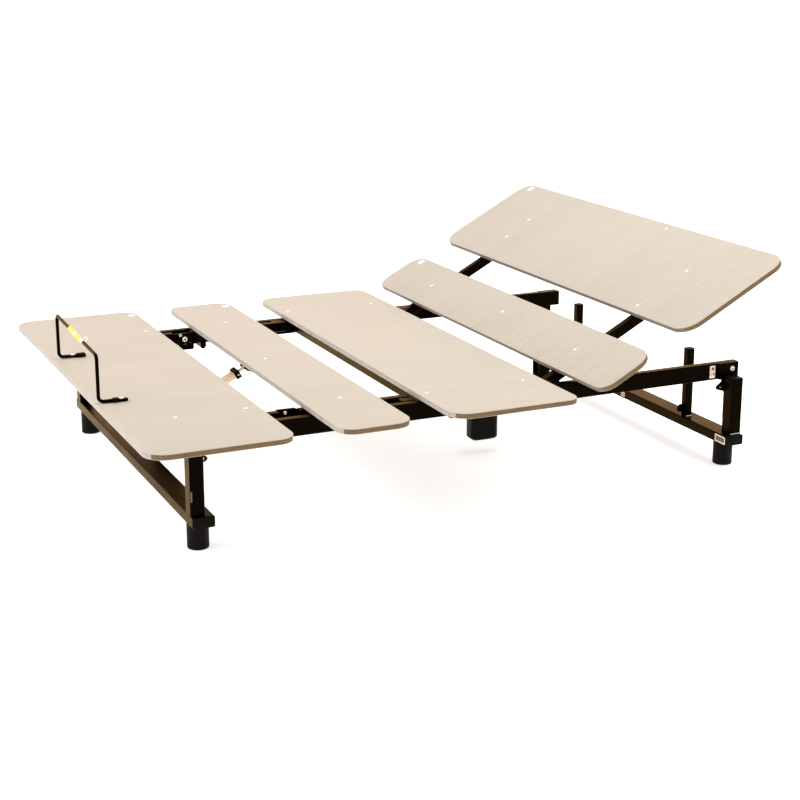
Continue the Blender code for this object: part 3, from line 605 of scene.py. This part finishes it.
def welds():
    """Seams: a lumpy bead along each line between two parts. The beads at the head posts and at the stubs are pale
    grey, a painted highlight; the rest take the frame's coat.
    """
    def bead(name, start, end, radius, look):
        first, last = Vector(start), Vector(end)
        count = max(6, round((last - first).length / (radius * 1.1)))
        points = []
        for step in range(count + 1):
            wave = Vector((0, 0, radius * 0.18 * math.sin(step * 2.1)))
            points.append(first.lerp(last, step / count) + wave)
        piece(name, lambda bm: sweep(bm, points, radius, 10), look, "base",
              angle=60)

    for side, sign in SIDES:
        for end, _ in ENDS:
            y = along(POST_AT[end])
            # the pale grey on the head post beads is a painted highlight
            for name, x, radius, look in (
                    ("post_seam", 0.5906, 0.0016, SEAM_PAINTED_HIGHLIGHT if end == "head" else COAT),
                    ("post_seam_inner", 0.5464, 0.0014, COAT)):
                bead(f"{name}_{end}_{side}", (sign * x, y - 0.0175, BAR_TOP + SEAM_RISE),
                     (sign * x, y + 0.0175, BAR_TOP + SEAM_RISE), radius, look)
        stub_face = STUB_X[side] + STUB / 2
        # the pale grey on the stub beads is a painted highlight
        bead(f"stub_seam_{side}", (stub_face, along(STUB_AT) - 0.009, BAR_TOP + SEAM_RISE),
             (stub_face, along(STUB_AT) + 0.009, BAR_TOP + SEAM_RISE), 0.0015, SEAM_PAINTED_HIGHLIGHT)
        for tube, station in CROSS_TUBE_AT.items():
            for letter, edge in (("a", -CROSS_TUBE_HALF), ("b", CROSS_TUBE_HALF)):
                y = along(station) + edge
                bead(f"tube_seam_{tube}_{side}_{letter}",
                     (sign * 0.5140, y, DECK - RAIL_TOP - 0.037),
                     (sign * 0.5140, y, DECK - RAIL_TOP - 0.004), 0.0014, COAT)


# ---------------------------------------------------------------- knee and feet
def knee_bolts():
    at = Vector(JOINTS["knee_hinge"]["pos_m"])
    for side, sign in SIDES:
        place = facing((-sign, 0, 0), (sign * 0.4545, at.y, at.z))

        def build(bm):
            bolt_head(bm, 0.0085, 0.0045, 0.40)
            turned(bm, [(0, -0.0155), (0.0048, -0.0155), (0.0055, -0.0145), (0.0055, 0.0002),
                        (0, 0.0004)])
            before = len(bm.faces)
            turned(bm, [(0, -0.0160), (0.0072, -0.0158), (0.0080, -0.0152), (0.0080, -0.0128),
                        (0.0074, -0.0124), (0, -0.0123)], 6)
            for face in list(bm.faces)[before:]:
                face.material_index = 2

        # the knee bolt's recess takes the dark tan of painted shade
        piece(f"knee_bolt_{side}", build, (ZINC, RECESS_PAINTED_SHADE, COAT), "foot_section", place,
              (f"knee_pin_{side}",), 35)
        inner = (sign * 0.4550, at.y - 0.0135, at.z + 0.0140)
        bolt(f"knee_screw_inner_{side}", (-sign, 0, 0), inner, 0.0046, 0.0022, "thigh_section")
        outer = (sign * 0.4665, at.y - 0.0130, at.z + 0.0120)
        bolt(f"knee_screw_outer_{side}", (sign, 0, 0), outer, 0.0048, 0.0040, "foot_section",
             dimple=ZINC)
        stop = (sign * 0.4700, along(0.4860), DECK - 0.0490)
        piece(f"knee_stop_{side}", lambda bm: slab(
            bm, rounded(0.026, 0.018, 0.003, 4), 0.0001, 0.0022, 0.0008, 2), ZINC, "base",
            facing((0, 0, 1), stop))


def feet():
    """Moulded feet: round bodies with two shallow grooves and a soft sole edge."""
    profile = [(0, 0.0), (0.0262, 0.0), (0.0283, 0.0012), (0.0290, 0.0035),
               (0.0290, 0.0125), (0.0284, 0.0130), (0.0284, 0.0142), (0.0290, 0.0147),
               (0.0290, 0.0585), (0.0284, 0.0590), (0.0284, 0.0604), (0.0290, 0.0609),
               (0.0290, 0.0680), (0.0282, 0.0694), (0, 0.0694)]
    for side, sign in SIDES:
        for end, _ in ENDS:
            piece(f"foot_body_{end}_{side}", lambda bm: turned(bm, profile, 48), FOOT_PLASTIC,
                  "base", facing((0, 0, 1), (sign * FOOT_X, along(BAR_AT[end]), 0)),
                  (f"foot_{end}_{side}",), 35)


# ---------------------------------------------------------------- retainer
RETAINER_X, RETAINER_AT = 0.0065, 0.0155
RETAINER_SKEW = math.radians(-1.6)
WRAP_THICK = 0.0004
# Bands of tape on the retainer, as distances from the middle of its top bar
WRAPS = ((-0.078, -0.014, YELLOW_TAPE), (-0.014, 0.004, WHITE_TAPE),
         (0.004, 0.070, YELLOW_TAPE), (0.070, 0.098, WHITE_TAPE))


def retainer():
    """Bent round bar that holds the mattress: two bolted eyes, two pads, tape and a paper tag."""
    radius, bend, half, tall = 0.005, 0.014, 0.252, 0.127
    skew = Matrix.Rotation(RETAINER_SKEW, 3, "Z")
    ahead, up, right = skew @ Vector((0, 1, 0)), Vector((0, 0, 1)), skew @ Vector((1, 0, 0))
    middle = Vector((RETAINER_X, along(RETAINER_AT), DECK + radius + 0.0003))
    corners = [middle + right * sign * half for sign in (-1, 1)]
    tops = [corner + up * tall for corner in corners]
    reach = 0.054

    def arc(corner, before, after):
        centre = corner - before * bend + after * bend
        return [centre - after * bend * math.cos(turn) + before * bend * math.sin(turn)
                for turn in (math.pi / 2 * step / 8 for step in range(9))]

    points = [corners[0] + ahead * reach]
    points += arc(corners[0], -ahead, up)
    points += arc(tops[0], up, right)
    points += arc(tops[1], right, -up)
    points += arc(corners[1], -up, ahead)
    points.append(corners[1] + ahead * reach)
    piece("retainer_rod", lambda bm: sweep(bm, points, radius, 16), COAT, "foot_section",
          LEVEL, ("retainer_bar",), 60)
    for side, corner, bolt_back, pad_back, pad_long in (
            ("far", corners[0], 0.038, 0.014, 0.026), ("near", corners[1], 0.017, 0.033, 0.018)):
        eye = corner + ahead * (reach + 0.012)
        outline = rounded(0.0135, 0.036, 0.0066, 8)
        piece(f"retainer_eye_{side}", lambda bm: slab(bm, outline, 0.0003, 0.0090, 0.0030, 3),
              COAT, "foot_section", facing(up, (eye.x, eye.y - 0.004, DECK)))
        bolt(f"retainer_bolt_{side}", up, (eye.x, eye.y + 0.012 - bolt_back, DECK + 0.0088),
             0.0062, 0.0038, "foot_section", dimple=ZINC)
        piece(f"retainer_pad_{side}", lambda bm: slab(
            bm, rounded(0.0170, pad_long, 0.006, 6), 0.0040, 0.0125, 0.0025, 3), BLACK_CAP,
            "foot_section",
            facing(up, (eye.x + 0.002, eye.y + 0.012 - pad_back, DECK)))

    for number, (start, end, look) in enumerate(WRAPS):
        length = end - start
        shoulder, full = radius + WRAP_THICK * 0.6, radius + WRAP_THICK
        profile = [(0, -0.0001), (shoulder, 0), (full, 0.0006), (full, length - 0.0006),
                   (shoulder, length), (0, length + 0.0001)]
        piece(f"retainer_wrap_{number}", lambda bm: turned(bm, profile, 20), look,
              "foot_section",
              facing(right, middle + up * tall + right * start), angle=50)
    flag = rounded(0.006, 0.018, 0.001, 3)
    piece("retainer_flag", lambda bm: slab(bm, flag, 0, 0.0003, 0.0001, 1), WHITE_TAPE,
          "foot_section",
          facing((0.2, -0.7, 0.7), middle + up * (tall - 0.001) + ahead * 0.012
                 + right * (WRAPS[-1][1] - 0.022)))


# ---------------------------------------------------------------- actuators
BACK_ANCHOR = (along(1.106), DECK - 0.190)
BACK_PIN = (BACK @ Vector((0, 0.1229, -0.1470))).yz
LEG_ANCHOR = (along(0.239), DECK - 0.240)
LEG_PIN = (along(0.575), DECK - 0.054)
CLAMP_MIDDLE = 0.0035            # back from the end of the outer tube
CASE_SEAM = (0.0632, 0.0912, 0.0203)
SEAM_SHARE = 0.62                # height of the parting line, as a share of the case
CASE_SCREWS = ((-0.020, -0.034), (0.020, -0.034), (-0.020, 0.034), (0.020, 0.034))


def actuator_detail(name, anchor, crank, x, shell, motor, rises, clamp):
    """Screws on the end clamp, and the parting line and cover screws of the motor case.

    The outer tube runs from anchor towards crank and is shell long. The motor case spans the
    levels motor, and stands rises towards the head from the anchor."""
    start = Vector((0, *anchor))
    way = (Vector((0, *crank)) - start).normalized()
    body = f"{name}_actuator"
    at = start + way * (shell - CLAMP_MIDDLE)
    for sign in (-1, 1):
        bolt(f"{name}_clamp_screw_{'near' if sign > 0 else 'far'}", (sign, 0, 0),
             (x + sign * clamp / 2, at.y, at.z), 0.0030, 0.0014, body)
    low, high = motor
    y = start.y + rises
    middle = low + (high - low) * SEAM_SHARE
    seam = rounded(*CASE_SEAM, 6)
    piece(f"{name}_case_seam", lambda bm: slab(bm, seam, -0.0006, 0.0006, 0.0003, 1), BLACK_CAP,
          body, facing((0, 0, 1), (x, y, middle)))
    way, level = ((0, 0, -1), low) if name == "back" else ((0, 0, 1), high)
    for number, (dx, dy) in enumerate(CASE_SCREWS):
        bolt(f"{name}_case_screw_{number}", way, (x + dx, y + dy, level), 0.0030, 0.0012, body)


# ---------------------------------------------------------------- stage
def floor():
    """Plain white floor, lit a little from within so that shadows stay faint."""
    made = Surface("floor", 0.9, specular=0.1)
    made.colour(made.ramp(made.noise(3.0), ((0.3, (0.93, 0.93, 0.93)), (0.7, (0.95, 0.95, 0.95)))))
    made.shader.inputs["Emission Color"].default_value = (1, 1, 1, 1)
    made.shader.inputs["Emission Strength"].default_value = 0.50
    mesh = bpy.data.meshes.new("floor")
    bm = bmesh.new()
    bmesh.ops.create_circle(bm, cap_ends=True, segments=64, radius=40)
    bm.to_mesh(mesh)
    bm.free()
    mesh.materials.append(made.material)
    obj = bpy.data.objects.new("floor", mesh)
    bpy.context.scene.collection.objects.link(obj)


def area_light(name, place, aim, size, power, colour):
    data = bpy.data.lights.new(name, "AREA")
    data.shape = "RECTANGLE"
    data.size, data.size_y = size
    data.energy = power
    data.color = colour
    obj = bpy.data.objects.new(name, data)
    obj.location = place
    obj.rotation_euler = (Vector(aim) - Vector(place)).to_track_quat("-Z", "Y").to_euler()
    bpy.context.scene.collection.objects.link(obj)


def studio():
    """White above and beyond the bed, a warm band low down, and darker behind the camera."""
    world = bpy.data.worlds.new("studio")
    world.use_nodes = True
    nodes, links = world.node_tree.nodes, world.node_tree.links
    way = nodes.new("ShaderNodeSeparateXYZ")
    links.new(nodes.new("ShaderNodeTexCoord").outputs["Generated"], way.inputs[0])

    def ramp(value, stops):
        made = nodes.new("ShaderNodeValToRGB")
        links.new(value, made.inputs["Fac"])
        return fill_ramp(made, stops)

    height = ramp(way.outputs["Z"], ((0.16, (1.45, 1.10, 0.95)), (0.50, (1.0, 1.0, 1.0))))
    side = ramp(way.outputs["X"], ((0.05, (1.0, 1.0, 1.0)), (0.75, (0.30, 0.30, 0.31))))
    blend = nodes.new("ShaderNodeMix")
    blend.data_type = "RGBA"
    blend.blend_type = "MULTIPLY"
    blend.inputs[0].default_value = 1.0
    links.new(height, blend.inputs[6])
    links.new(side, blend.inputs[7])
    sky = nodes["Background"]
    links.new(blend.outputs[2], sky.inputs["Color"])
    sky.inputs["Strength"].default_value = 1.05
    bpy.context.scene.world = world
    area_light("over", (0.6, 1.2, 3.4), (0.1, 0, 0.2), (3.5, 3.5), 97, (1.0, 0.98, 0.96))
    area_light("foot_side", (-0.6, -4.2, 1.6), (0, -0.6, 0.2), (2.5, 1.2), 70, (0.93, 0.95, 1.0))


CAMERA_AT = (4.351, -1.9402, 1.558)
CAMERA_LENS = 72.95
CAMERA_SHIFT = (-0.01825, -0.04775)
CAMERA_TURN = (64.62, 15.02, 0.23)   # azimuth, elevation and roll in degrees


def camera():
    data = bpy.data.cameras.new("camera")
    data.sensor_width = 36
    data.lens = CAMERA_LENS
    data.shift_x, data.shift_y = CAMERA_SHIFT
    data.clip_end = 100
    obj = bpy.data.objects.new("camera", data)
    azimuth, elevation, roll = (math.radians(value) for value in CAMERA_TURN)
    back = Vector((math.sin(azimuth) * math.cos(elevation),
                   -math.cos(azimuth) * math.cos(elevation), math.sin(elevation)))
    right = Vector((math.cos(azimuth), math.sin(azimuth), 0))
    up = back.cross(right)
    turned_right = right * math.cos(roll) + up * math.sin(roll)
    turned_up = up * math.cos(roll) - right * math.sin(roll)
    axes = Matrix((turned_right, turned_up, back)).transposed().to_4x4()
    obj.matrix_world = Matrix.Translation(CAMERA_AT) @ axes
    bpy.context.scene.collection.objects.link(obj)
    bpy.context.scene.camera = obj


boards()
board_bolts()
base_caps()
arm_caps()
plate_bolts()
labels()
welds()
knee_bolts()
feet()
retainer()
actuator_detail("back", BACK_ANCHOR, BACK_PIN, 0.150, 0.232, (DECK - 0.285, DECK - 0.160), 0.112,
                0.041)
actuator_detail("leg", LEG_ANCHOR, LEG_PIN, -0.150, 0.340, (DECK - 0.230, DECK - 0.075), 0.075,
                0.047)
floor()
studio()
camera()
bpy.context.scene.view_settings.view_transform = "Standard"
